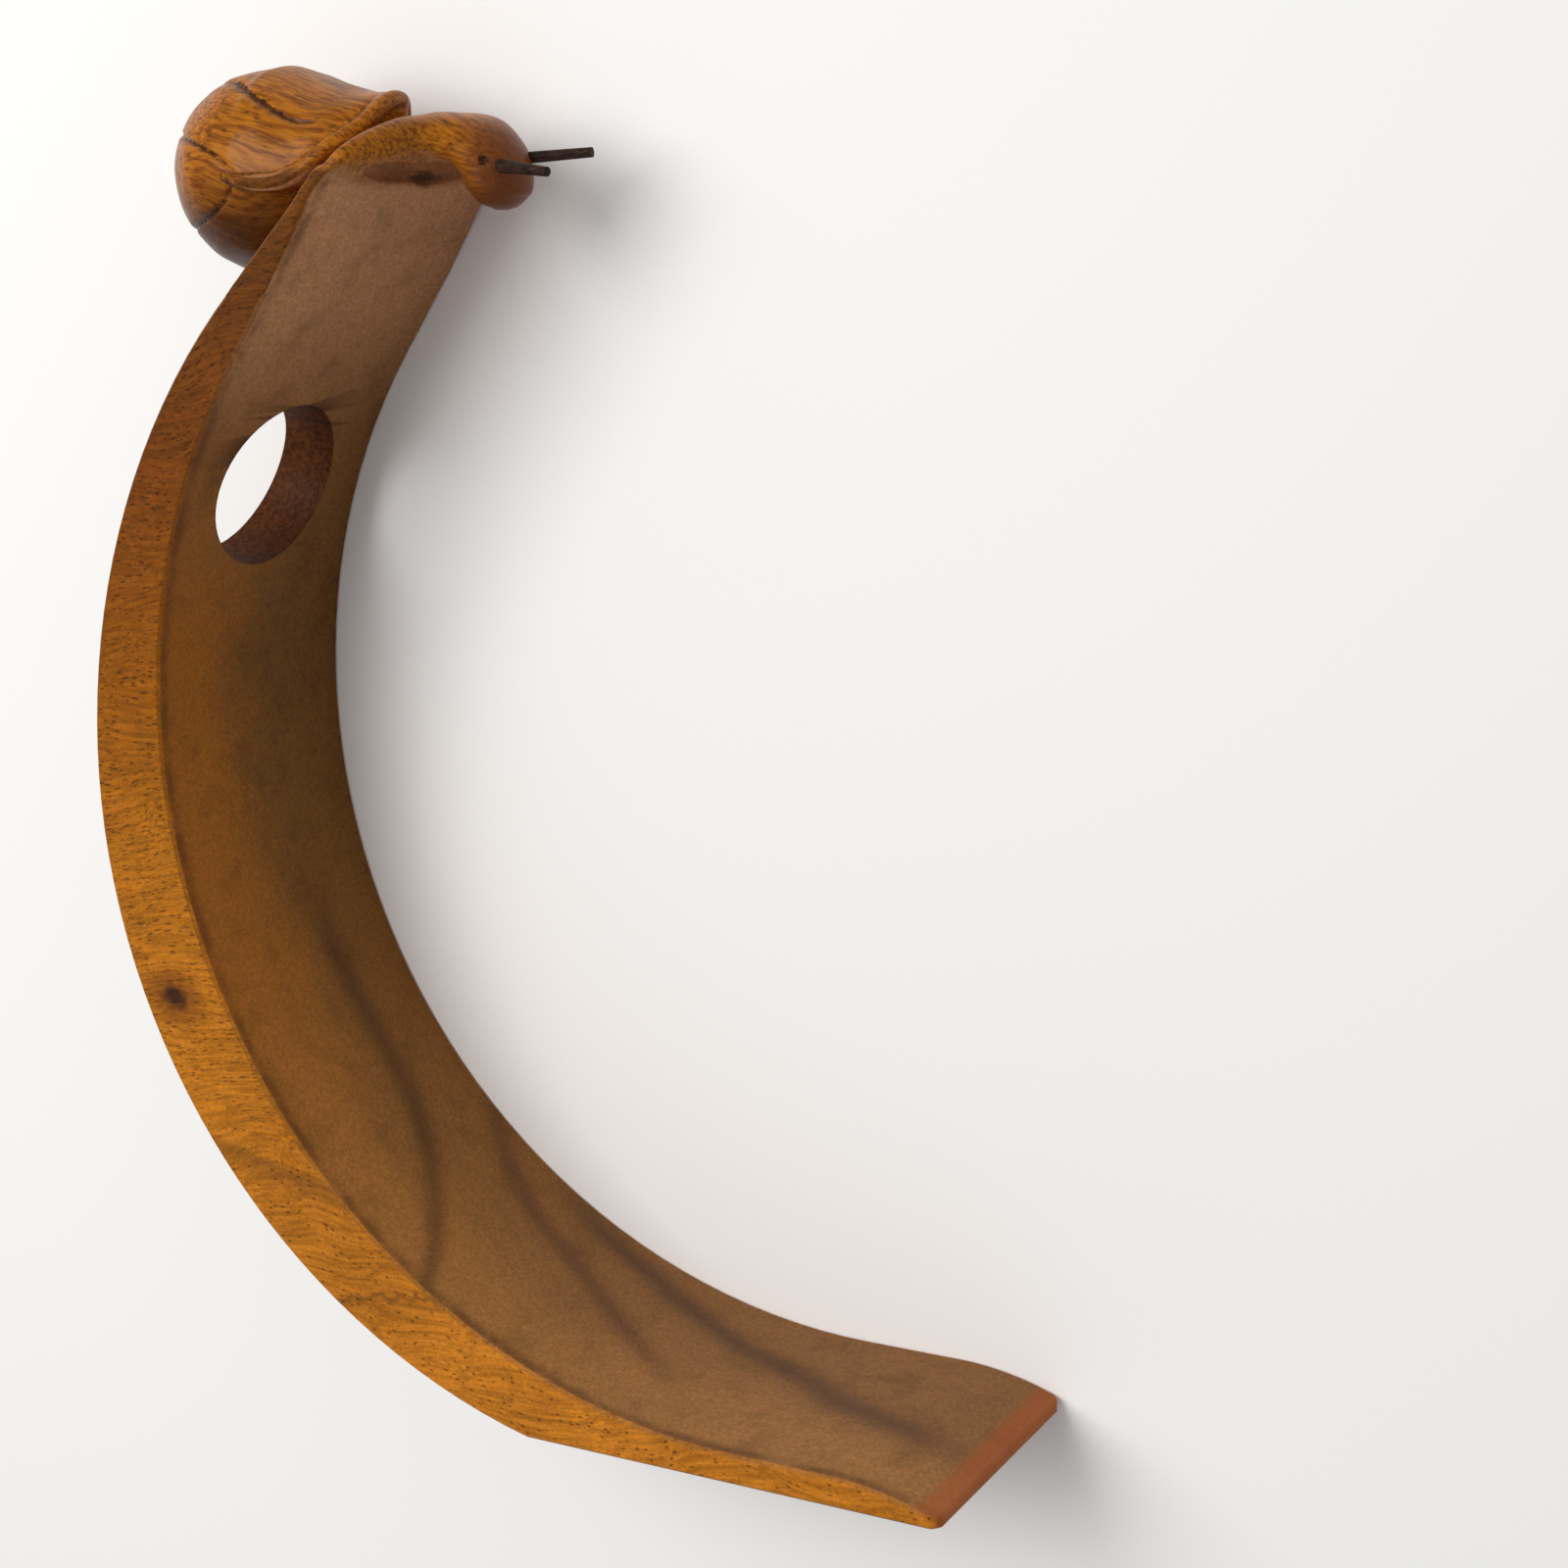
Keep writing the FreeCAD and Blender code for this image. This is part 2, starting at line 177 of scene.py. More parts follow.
# How softly each form melts into the rest, in millimetres
HOOD_SOFT = 3.0
LIP_SOFT = 0.6
EYE_SOFT = 0.2
NECK_SOFT = 0.9
SCOOP_SOFT = 0.8
SADDLE_SOFT = 1.6
SHELL_SOFT = 0.3
OUTER_SOFT = 0.5
TOP_SOFT = 1.2
ARRIS = 0.7                         # rounding of the board's edges
ARRIS_WORN = 2.4                    # what the rounding gains where the neck grows out of the board
WORN_FROM = -18                     # height where that starts, and how far up it takes
WORN_OVER = 14

# Gloss, from 0 to 1
DULL = 0.62
SIDE_SMOOTHER = 0.1
SNAIL_SMOOTHER = 0.28
SPECULAR = 0.08
SNAIL_COAT = 0.08
COAT_ROUGH = 0.26

WORLD_LIGHT = 0.4
KEY_TOWARDS = (-0.35, 0.4, 1.0)
KEY_DISTANCE = 1.3
KEY_SIZE = 0.9
KEY_POWER = 13
KEY_TINT = (1.0, 0.98, 0.95)
FLOOR_SIZE = 6.0
SHARP = 25                          # edges that turn by more degrees than this stay crisp

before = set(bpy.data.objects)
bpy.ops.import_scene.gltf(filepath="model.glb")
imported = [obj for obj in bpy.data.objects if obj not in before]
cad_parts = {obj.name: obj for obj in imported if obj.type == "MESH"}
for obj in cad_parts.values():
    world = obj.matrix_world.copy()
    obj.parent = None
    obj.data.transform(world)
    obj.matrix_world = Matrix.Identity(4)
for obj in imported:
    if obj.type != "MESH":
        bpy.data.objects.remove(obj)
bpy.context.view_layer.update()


def camera_frame():
    az = math.radians(CAM_AZIMUTH)
    rise = math.radians(CAM_RISE)
    roll = math.radians(CAM_ROLL)
    back = Vector((math.sin(az) * math.cos(rise), math.sin(rise), math.cos(az) * math.cos(rise)))
    right = (-back).cross(Vector((0, 1, 0))).normalized()
    up = right.cross(-back)
    turned_right = right * math.cos(roll) + up * math.sin(roll)
    turned_up = up * math.cos(roll) - right * math.sin(roll)
    return turned_right, turned_up, back


def add_camera():
    data = bpy.data.cameras.new("camera")
    data.lens = CAM_LENS
    data.sensor_width = SENSOR
    data.clip_start = 0.01
    data.clip_end = 20
    cam = bpy.data.objects.new("camera", data)
    bpy.context.collection.objects.link(cam)
    right, up, back = camera_frame()
    place = CAM_TARGET + back * CAM_DISTANCE
    turn = Matrix((right, up, back)).transposed().to_4x4()
    cam.matrix_world = Matrix.Translation(place) @ turn
    bpy.context.scene.camera = cam


def area_light(name, towards, distance, size, power, tint):
    # a soft light that shines at the middle of the holder from that direction
    data = bpy.data.lights.new(name, "AREA")
    data.shape = "SQUARE"
    data.size = size
    data.energy = power
    data.color = tint
    light = bpy.data.objects.new(name, data)
    bpy.context.collection.objects.link(light)
    way = Vector(towards).normalized()
    light.location = Vector((0, 0, MID)) + way * distance
    light.rotation_euler = way.to_track_quat("Z", "Y").to_euler()


def add_world():
    world = bpy.data.worlds.new("room")
    world.use_nodes = True
    shade = world.node_tree.nodes["Background"]
    shade.inputs["Color"].default_value = (1, 1, 1, 1)
    shade.inputs["Strength"].default_value = WORLD_LIGHT
    bpy.context.scene.world = world
    bpy.context.scene.view_settings.view_transform = "Standard"


class Net:
    # short way to build a material's node network
    def __init__(self, name):
        self.material = bpy.data.materials.new(name)
        self.material.use_nodes = True
        self.tree = self.material.node_tree
        self.shader = self.tree.nodes["Principled BSDF"]

    def node(self, kind, **values):
        made = self.tree.nodes.new(kind)
        for key, value in values.items():
            setattr(made, key, value)
        return made

    def link(self, value, socket):
        if isinstance(value, bpy.types.NodeSocket):
            self.tree.links.new(value, socket)
        else:
            socket.default_value = value

    def math(self, operation, a, b=0.0, c=0.0):
        made = self.node("ShaderNodeMath", operation=operation)
        for value, socket in zip((a, b, c), made.inputs):
            self.link(value, socket)
        return made.outputs[0]

    def vector(self, operation, a, b=(0, 0, 0)):
        made = self.node("ShaderNodeVectorMath", operation=operation)
        self.link(a, made.inputs[0])
        self.link(b, made.inputs[1])
        return made.outputs["Value"] if operation in ("LENGTH", "DISTANCE") else made.outputs[0]

    def spread(self, value, low, high, new_low=0.0, new_high=1.0, smooth=True):
        made = self.node("ShaderNodeMapRange", interpolation_type="SMOOTHSTEP" if smooth else "LINEAR")
        for number, item in enumerate((value, low, high, new_low, new_high)):
            self.link(item, made.inputs[number])
        return made.outputs[0]

    def noise(self, place, scale, detail, rough=0.5):
        made = self.node("ShaderNodeTexNoise")
        self.link(place, made.inputs["Vector"])
        self.link(scale, made.inputs["Scale"])
        self.link(detail, made.inputs["Detail"])
        self.link(rough, made.inputs["Roughness"])
        return made.outputs["Fac"]

    def mix(self, factor, a, b):
        made = self.node("ShaderNodeMix", data_type="RGBA")
        self.link(factor, made.inputs[0])
        self.link(a, made.inputs[6])
        self.link(b, made.inputs[7])
        return made.outputs[2]

    def bump(self, height, strength, distance):
        made = self.node("ShaderNodeBump")
        self.link(height, made.inputs["Height"])
        self.link(strength, made.inputs["Strength"])
        self.link(distance, made.inputs["Distance"])
        return made.outputs[0]


def colour(r, g, b):
    # a colour as it looks, each part 0 to 255
    parts = [c / 255 for c in (r, g, b)]
    return tuple(c / 12.92 if c < 0.04 else ((c + 0.055) / 1.055) ** 2.4 for c in parts) + (1.0,)


def plain(name, base, rough):
    net = Net(name)
    net.link(colour(*base), net.shader.inputs["Base Color"])
    net.link(rough, net.shader.inputs["Roughness"])
    return net.material


def ridge(net, value, width):
    # 1 where the value is 0, fading on both sides over the width
    scaled = net.math("DIVIDE", value, width)
    return net.math("EXPONENT", net.math("MULTIPLY", net.math("POWER", scaled, 2.0), -1.0))


def product(net, *values):
    result = values[0]
    for value in values[1:]:
        result = net.math("MULTIPLY", result, value)
    return result


def straight(net, x, y, x_share, y_share, start):
    # x_share * x + y_share * y - start
    both = net.math("MULTIPLY", y, y_share)
    return net.math("SUBTRACT", net.math("MULTIPLY_ADD", x, x_share, both), start)


def lean(net, place, degrees, size):
    # the same place, turned in the side view and measured in pieces of that size
    mapping = net.node("ShaderNodeMapping", vector_type="TEXTURE")
    net.link(place, mapping.inputs["Vector"])
    mapping.inputs["Rotation"].default_value = (0, 0, math.radians(degrees))
    mapping.inputs["Scale"].default_value = size
    return mapping.outputs[0]


def dashes(net, place, degrees, size, thin, share):
    # dark pores: one dash in each piece of wood of that size, in a share of the pieces
    cell = net.node("ShaderNodeTexVoronoi", feature="F1")
    net.link(lean(net, place, degrees, size), cell.inputs["Vector"])
    net.link(1.0, cell.inputs["Scale"])
    dash = net.spread(cell.outputs["Distance"], thin, thin * 0.4)
    pick = net.node("ShaderNodeSeparateColor")
    net.link(cell.outputs["Color"], pick.inputs[0])
    return product(net, dash, net.math("LESS_THAN", pick.outputs[0], share))


def along(net, value, stops):
    # colour that changes with a value; stops are (value, colour as it looks)
    first = stops[0][0]
    last = stops[-1][0]
    ramp = net.node("ShaderNodeValToRGB")
    net.link(net.spread(value, first, last, smooth=False), ramp.inputs[0])
    band = ramp.color_ramp
    while len(band.elements) < len(stops):
        band.elements.new(0.5)
    for element, (at, look) in zip(band.elements, stops):
        element.position = (at - first) / (last - first)
        element.color = colour(*look)
    return ramp.outputs[0]


class Wood(Net):
    # everything is worked out from the place in the wood, in millimetres, so all faces agree
    def __init__(self, name):
        super().__init__(name)
        geometry = self.node("ShaderNodeNewGeometry")
        self.place = self.vector("MULTIPLY", geometry.outputs["Position"], (1000, 1000, 1000))
        split = self.node("ShaderNodeSeparateXYZ")
        self.link(self.place, split.inputs[0])
        self.x, self.y, self.z = split.outputs
        facing = self.node("ShaderNodeSeparateXYZ")
        self.link(geometry.outputs["Normal"], facing.inputs[0])
        self.side = self.spread(self.math("ABSOLUTE", facing.outputs[2]), 0.55, 0.85)
        self.mottle = self.noise(self.place, 0.045, 3.0, 0.55)
        self.grit = self.noise(self.place, 1.3, 3.0, 0.7)
        self.bent = self.vector("ADD", self.place, self.wobble())

    def wobble(self):
        # the grain isn't quite straight
        drift = self.node("ShaderNodeTexNoise")
        self.link(self.place, drift.inputs["Vector"])
        self.link(0.035, drift.inputs["Scale"])
        self.link(1.0, drift.inputs["Detail"])
        centred = self.vector("SUBTRACT", drift.outputs["Color"], (0.5, 0.5, 0.5))
        return self.vector("MULTIPLY", centred, GRAIN_DRIFT)

    def swing(self, noise, low=0.0, high=1.0):
        # the noise, most of which lies between 0.3 and 0.7, spread over a new range
        return self.spread(noise, 0.3, 0.7, low, high)

    def tinge(self, base, strength, share, look):
        # the base with some of that colour over it, where the share is 1
        return self.mix(self.math("MULTIPLY", share, strength), base, colour(*look))

    def dim(self, paint, factor):
        made = self.node("ShaderNodeVectorMath", operation="SCALE")
        self.link(paint, made.inputs[0])
        self.link(factor, made.inputs["Scale"])
        return made.outputs[0]

    def snail_share(self):
        # 1 on the snail, 0 on the arc
        from_shell = self.vector("DISTANCE", self.place, SHELL_MID)
        shell = self.spread(from_shell, SHELL_REACH + 2.0, SHELL_REACH + 0.7)
        face = FACE_OUT[0] * EDGE[0] + FACE_OUT[1] * EDGE[1]
        out = straight(self, self.x, self.y, FACE_OUT[0], FACE_OUT[1], face)
        high = self.spread(self.y, EDGE[1] - 16, EDGE[1] - 12)
        neck = product(self, self.spread(out, 0.2, 1.6), high)
        top = self.spread(self.y, EDGE[1] + 1.0, EDGE[1] + 4.0)
        return self.math("MAXIMUM", self.math("MAXIMUM", shell, neck), top)

    def side_colour(self, pore):
        # darker towards the top: partly the wood's own tone, partly painted shade
        base = along(self, self.y, SIDE_TONE_AND_SHADE_STOPS)
        base = self.mix(self.spread(self.mottle, 0.35, 0.7), base, self.dim(base, 0.8))
        fibre = self.noise(lean(self, self.bent, *SIDE_FIBRE), 1.0, 3.0, 0.6)
        base = self.dim(base, self.swing(fibre, 0.72, 1.22))
        base = self.dim(base, self.swing(self.grit, 0.84, 1.14))
        base = self.growth_line(base)
        return self.mix(self.math("MULTIPLY", pore, 0.75), base, self.dim(base, 0.24))

    def growth_line(self, base):
        # a thin curved line near the foot, a little darker under it, and a band behind it
        from_peak = self.math("POWER", self.math("SUBTRACT", self.x, RING_PEAK_X), 2.0)
        ring = straight(self, from_peak, self.y, RING_DROP, 1.0, RING_HEIGHT)
        ring = self.math("ADD", ring, self.swing(self.noise(self.place, 0.35, 1.0), -0.7, 0.7))
        behind = self.spread(self.x, *RING_ENDS)
        line = product(self, ridge(self, ring, RING_HALF), behind)
        below = product(self, self.spread(ring, 0.2, -0.6), self.spread(ring, -5.5, -1.0), behind)
        band = straight(self, self.x, self.y, BAND_LEAN, 1.0, BAND_HEIGHT)
        band = product(self, self.spread(band, 2.0, 0.2), self.spread(band, -6, 0.2),
                       self.spread(self.x, *BAND_ENDS))
        for strength, share in ((0.62, line), (0.16, below), (0.5, band)):
            base = self.tinge(base, strength, share, GREY_BROWN)
        return base

    def knot(self, base):
        away = self.vector("SUBTRACT", self.place, KNOT)
        stretched = self.vector("MULTIPLY", away, KNOT_SQUASH)
        rough = self.swing(self.noise(self.place, 0.5, 3.0), -0.6, 0.6)
        reach = self.math("ADD", self.vector("LENGTH", stretched), rough)
        base = self.tinge(base, 0.65, self.spread(reach, *KNOT_REACH), KNOT_HALO)
        return self.tinge(base, 0.88, self.spread(reach, *KNOT_DARK), KNOT_CORE)

    def arc_angle(self):
        # angle round the middle of the inner face's arc, 0 to 360 degrees
        dx = self.math("SUBTRACT", self.x, INNER_MID[0])
        dy = self.math("SUBTRACT", self.y, INNER_MID[1])
        angle = self.math("MULTIPLY", self.math("ARCTAN2", dy, dx), 180 / math.pi)
        return self.math("ADD", angle, self.math("MULTIPLY", self.math("LESS_THAN", angle, 0.0), 360.0))

    def streaks(self, base):
        angle = self.arc_angle()
        drift = self.swing(self.noise(self.place, 0.025, 0.0), -2.0, 2.0)
        z = self.math("ADD", self.z, drift)
        for start, slope, bow, width, first, last, depth, look in STREAKS:
            least = 0.0 if bow else -90.0
            on = self.math("MAXIMUM", self.math("SUBTRACT", angle, start[0]), least)
            line = self.math("MULTIPLY_ADD", on, slope, start[1])
            line = self.math("MULTIPLY_ADD", product(self, on, on), bow, line)
            shape = product(self, ridge(self, self.math("SUBTRACT", z, line), width),
                            self.spread(angle, first - 8, first + 5), self.spread(angle, last + 8, last - 5))
            base = self.tinge(base, depth, shape, look)
        return base

    def inner_colour(self):
        base = along(self, self.y, INNER_STOPS)
        gold = along(self, self.y, GOLD_STOPS)
        across = self.math("MULTIPLY_ADD", self.mottle, 26.0, self.z)
        base = self.mix(self.spread(across, 32, 62), base, gold)
        patch = self.noise(self.place, 0.11, 2.0, 0.6)
        base = self.mix(self.spread(patch, 0.45, 0.75), base, self.dim(base, 0.78))
        base = self.dim(base, self.swing(self.grit, 0.76, 1.22))
        tint = self.noise(self.place, 0.5, 3.0, 0.7)
        base = self.mix(self.spread(tint, 0.35, 0.65, 0.0, 0.22), base, colour(*OLIVE))
        base = self.streaks(base)
        near_edge = ridge(self, self.math("SUBTRACT", self.z, 54.6), 1.5)
        stain = product(self, near_edge, self.spread(patch, 0.3, 0.6, 0.3, 1.0))
        base = self.tinge(base, 0.5, stain, EDGE_STAIN)
        return self.tinge(base, 0.6, self.spread(self.x, TOE_X - 6, TOE_X - 3), TOE_END)

    def snail_colour(self, pore):
        fibre = self.noise(lean(self, self.bent, *SNAIL_FIBRE), 1.0, 4.0, 0.6)
        base = self.mix(self.spread(fibre, 0.3, 0.68), colour(*SNAIL_DARK), colour(*SNAIL_GOLD))
        base = self.mix(self.spread(self.mottle, 0.4, 0.7), base, self.dim(base, 0.72))
        # painted shade: the lower shell is darker under the hood
        base = self.tinge(base, 0.88, self.spread(self.y, EDGE[1] + 6, EDGE[1] - 9), SHELL_UNDER_SHADE)
        base = self.tinge(base, 0.8, self.spread(self.x, EDGE[0] + 15, EDGE[0] + 23), HEAD_RED)
        return self.tinge(base, 0.55, pore, SNAIL_PORE)

    def bore_share(self):
        # 1 on the wall of the neck's hole
        axis = BORE_ACROSS[0] * BORE[0] + BORE_ACROSS[1] * BORE[1]
        off = straight(self, self.x, self.y, BORE_ACROSS[0], BORE_ACROSS[1], axis)
        square = self.math("ADD", self.math("POWER", off, 2.0),
                           self.math("POWER", self.math("SUBTRACT", self.z, BORE[2]), 2.0))
        return self.math("LESS_THAN", square, (BORE_R + 0.1) ** 2)


def board_pores(wood):
    long_share = wood.spread(wood.y, *PORES_CHANGE)
    short_share = wood.math("SUBTRACT", 1.0, long_share)
    long_pores = wood.math("MAXIMUM", dashes(wood, wood.bent, *LONG_PORES),
                           dashes(wood, wood.bent, *FINE_PORES))
    short_pores = dashes(wood, wood.bent, *SHORT_PORES)
    return wood.math("ADD", product(wood, long_share, long_pores), product(wood, short_share, short_pores))


def carved_wood():
    wood = Wood("carved_wood")
    pore = board_pores(wood)
    snail_pore = dashes(wood, wood.bent, *SNAIL_PORES)
    arc = wood.mix(wood.side, wood.inner_colour(), wood.knot(wood.side_colour(pore)))
    share = wood.snail_share()
    paint = wood.mix(share, arc, wood.snail_colour(snail_pore))
    ends = wood.swing(wood.noise(wood.place, 0.9, 3.0, 0.65))
    paint = wood.mix(wood.bore_share(), paint, wood.mix(ends, colour(*BORE_DARK), colour(*BORE_LIGHT)))
    # painted shade in the carving's grooves, creases and hollows, and the eyes' own dark in their pits
    painted_crease_shade = wood.node("ShaderNodeAttribute", attribute_name="crease_shade").outputs["Fac"]
    paint = wood.mix(wood.spread(painted_crease_shade, 0.1, 0.9, 0.0, 0.86), paint, colour(*CREASE_SHADE_COLOUR))
    wood.link(paint, wood.shader.inputs["Base Color"])
    rough = wood.math("MULTIPLY_ADD", wood.side, -SIDE_SMOOTHER, DULL)
    rough = wood.math("ADD", rough, wood.math("MULTIPLY", share, -SNAIL_SMOOTHER))
    rough = wood.math("ADD", rough, wood.swing(wood.grit, -0.05, 0.07))
    wood.link(rough, wood.shader.inputs["Roughness"])
    wood.link(SPECULAR, wood.shader.inputs["Specular IOR Level"])
    wood.link(wood.math("MULTIPLY", share, SNAIL_COAT), wood.shader.inputs["Coat Weight"])
    wood.link(COAT_ROUGH, wood.shader.inputs["Coat Roughness"])
    pits = wood.math("MULTIPLY", wood.math("MAXIMUM", pore, snail_pore), -1.0)
    height = wood.math("MULTIPLY_ADD", wood.grit, 0.35, pits)
    wood.link(wood.bump(height, 0.35, 0.00012), wood.shader.inputs["Normal"])
    return wood.material


def feeler_wood():
    # dark bare stick with fine fibres along it
    wood = Wood("feeler_wood")
    fibre = wood.noise(lean(wood, wood.place, *STICK_FIBRE), 1.0, 3.0, 0.65)
    paint = wood.mix(wood.swing(fibre), colour(*STICK_DARK), colour(*STICK_LIGHT))
    paint = wood.dim(paint, wood.swing(wood.grit, 0.7, 1.3))
    wood.link(paint, wood.shader.inputs["Base Color"])
    wood.link(wood.swing(fibre, 0.52, 0.74), wood.shader.inputs["Roughness"])
    wood.link(0.1, wood.shader.inputs["Specular IOR Level"])
    wood.link(wood.bump(fibre, 0.4, 0.0001), wood.shader.inputs["Normal"])
    return wood.material


def blend(a, b, soft):
    # the nearer of two shapes, melted together over a width
    share = np.clip(0.5 + 0.5 * (b - a) / soft, 0, 1)
    return b + (a - b) * share - soft * share * (1 - share)


def carve(a, b, soft):
    # the first shape without the second
    return -blend(-a, b, soft)


def curve(rows, steps=8):
    # smooth run through the rows
    rows = np.array(rows, float)
    ends = np.vstack([2 * rows[0] - rows[1], rows, 2 * rows[-1] - rows[-2]])
    t = np.linspace(0, 1, steps, endpoint=False)[:, None]
    parts = []
    for a, b, c, d in zip(ends, ends[1:], ends[2:], ends[3:]):
        bend = (2 * a - 5 * b + 4 * c - d) * t ** 2 + (3 * b - a - 3 * c + d) * t ** 3
        parts.append(0.5 * (2 * b + (c - a) * t + bend))
    return np.vstack(parts + [rows[-1:]])


def section(over, aside, half_over, half_aside, square):
    # distance to a rounded section; square 2 makes it an ellipse
    a = np.abs(over) / half_over + 1e-6
    b = np.abs(aside) / half_aside + 1e-6
    reach = (a ** square + b ** square) ** (1 / square)
    steep = reach ** (1 - square) * np.hypot(a ** (square - 1) / half_over, b ** (square - 1) / half_aside)
    return (reach - 1) / np.maximum(steep, 1 / np.maximum(half_over, half_aside))


def ellipsoid(x, y, z, middle, radii):
    u = (x - middle[0]) / radii[0]
    v = (y - middle[1]) / radii[1]
    w = (z - middle[2]) / radii[2]
    reach = np.sqrt(u * u + v * v + w * w) + 1e-6
    steep = np.sqrt((u / radii[0]) ** 2 + (v / radii[1]) ** 2 + (w / radii[2]) ** 2) + 1e-6
    return reach * (reach - 1) / steep


def nearest(x, y, path):
    # for each place in the side view: the path's row there, the distance to it,
    # the same with a sign for the side, and how far past an end it is
    best = np.full(x.shape, 1e9)
    row = np.zeros(x.shape + (path.shape[1],))
    over = np.zeros(x.shape)
    past = np.zeros(x.shape)
    last = len(path) - 2
    for number, (start, end) in enumerate(zip(path, path[1:])):
        way = end[:2] - start[:2]
        length = np.hypot(*way)
        raw = ((x - start[0]) * way[0] + (y - start[1]) * way[1]) / length ** 2
        t = np.clip(raw, 0, 1)
        away = np.hypot(x - start[0] - way[0] * t, y - start[1] - way[1] * t)
        across = (way[0] * (y - start[1]) - way[1] * (x - start[0])) / length
        beyond = ((raw < 0) & (number == 0)) | ((raw > 1) & (number == last))
        closer = away < best
        best = np.where(closer, away, best)
        row[closer] = (start + (end - start) * t[..., None])[closer]
        over = np.where(closer, np.where(beyond, across, np.sign(across) * away), over)
        past = np.where(closer, np.where(beyond, np.abs(raw - t) * length, 0), past)
    return row, best, over, past


def board_end(x, y, z):
    outward = x * FACE_OUT[0] + y * FACE_OUT[1]
    away = np.hypot(x - OUTER_MID[0], y - OUTER_MID[1]) - OUTER_R
    (ax, ay), (bx, by) = CREST
    length = math.hypot(bx - ax, by - ay)
    way_x, way_y = (bx - ax) / length, (by - ay) / length
    crest = (y - ay) * way_x - (x - ax) * way_y
    outer = np.where((x - ax) * way_x + (y - ay) * way_y > 0, crest, away)
    top = (x - bx) * way_x + (y - by) * way_y - 1.0
    flat = -blend(-outward, -outer, OUTER_SOFT)
    flat = -blend(-flat, -top, TOP_SOFT)
    worn = ARRIS + ARRIS_WORN * np.clip((y - WORN_FROM) / WORN_OVER, 0, 1)
    return -blend(-flat, -(np.abs(z) - MID / MM), worn)


def neck_shape(x, y, z):
    row, _, over, past = nearest(x[..., 0], y[..., 0], curve(NECK))
    parts = [row[..., number, None] for number in (2, 3, 4)]
    body = section(over[..., None], z, *parts)
    return np.hypot(np.maximum(body, 0), past[..., None]) + np.minimum(body, 0) * (past[..., None] == 0)


def hood_shape(x, y, z):
    rows = curve(HOOD)
    columns = [np.interp(x[:, 0, 0], rows[:, 0], rows[:, number])[:, None, None] for number in range(1, 6)]
    base, high, near, far, square = columns
    over = y - base
    body = section(over, z, np.where(over > 0, high, HOOD_UNDER), np.where(z > 0, near, far), square)
    past = np.maximum(x - rows[-1, 0], rows[0, 0] - x)
    return np.where(past > 0, np.hypot(np.maximum(body, 0), np.maximum(past, 0)), np.maximum(body, past))


def lip_shape(x, y, z):
    rows = curve(LIP, 4)
    best = np.full(np.broadcast(x, y, z).shape, 50.0)
    close = (x[:, 0, 0] > rows[:, 0].min() - 4) & (x[:, 0, 0] < rows[:, 0].max() + 4)
    x, y = x[close], y[close]
    part = best[close]
    for start, end in zip(rows, rows[1:]):
        way = (end - start)[:3]
        raw = (x - start[0]) * way[0] + (y - start[1]) * way[1] + (z - start[2]) * way[2]
        t = np.clip(raw / way.dot(way), 0, 1)
        dx, dy, dz = (x - start[0] - way[0] * t, y - start[1] - way[1] * t, z - start[2] - way[2] * t)
        size = start[3] + (end[3] - start[3]) * t
        part = np.minimum(part, np.sqrt(dx * dx + dy * dy + dz * dz) - LIP_R * size)
    best[close] = part
    return best


def groove_depth(x, y):
    deep = np.zeros(x.shape)
    for route in GROOVES:
        path = curve([(a, b, t) for t, (a, b) in zip(np.linspace(0, 1, len(route)), route)])
        row, away, _, _ = nearest(x, y, path)
        fade = np.sqrt(np.clip(np.sin(math.pi * (0.04 + 0.92 * row[..., 2])), 0, 1))
        deep = np.maximum(deep, np.exp(-(away / GROOVE_WIDE) ** 2) * fade)
    return deep * GROOVE_DEEP


def saddle_shape(x, y, z):
    (ax, ay), (bx, by), first, last = SADDLE
    length = math.hypot(bx - ax, by - ay)
    t = np.clip(((x - ax) * (bx - ax) + (y - ay) * (by - ay)) / length ** 2, 0, 1)
    away = np.sqrt((x - ax - (bx - ax) * t) ** 2 + (y - ay - (by - ay) * t) ** 2 + z * z)
    return away - (first + (last - first) * t)


def knife_marks(x, y, z):
    # gentle flats left by the knife
    a = np.sin(0.55 * x + 0.3 * y + 1.1 * np.sin(0.31 * z + 0.4))
    b = np.sin(0.47 * y - 0.25 * x + 0.62 * z + 0.9 * np.sin(0.4 * x))
    return KNIFE * (a + b)


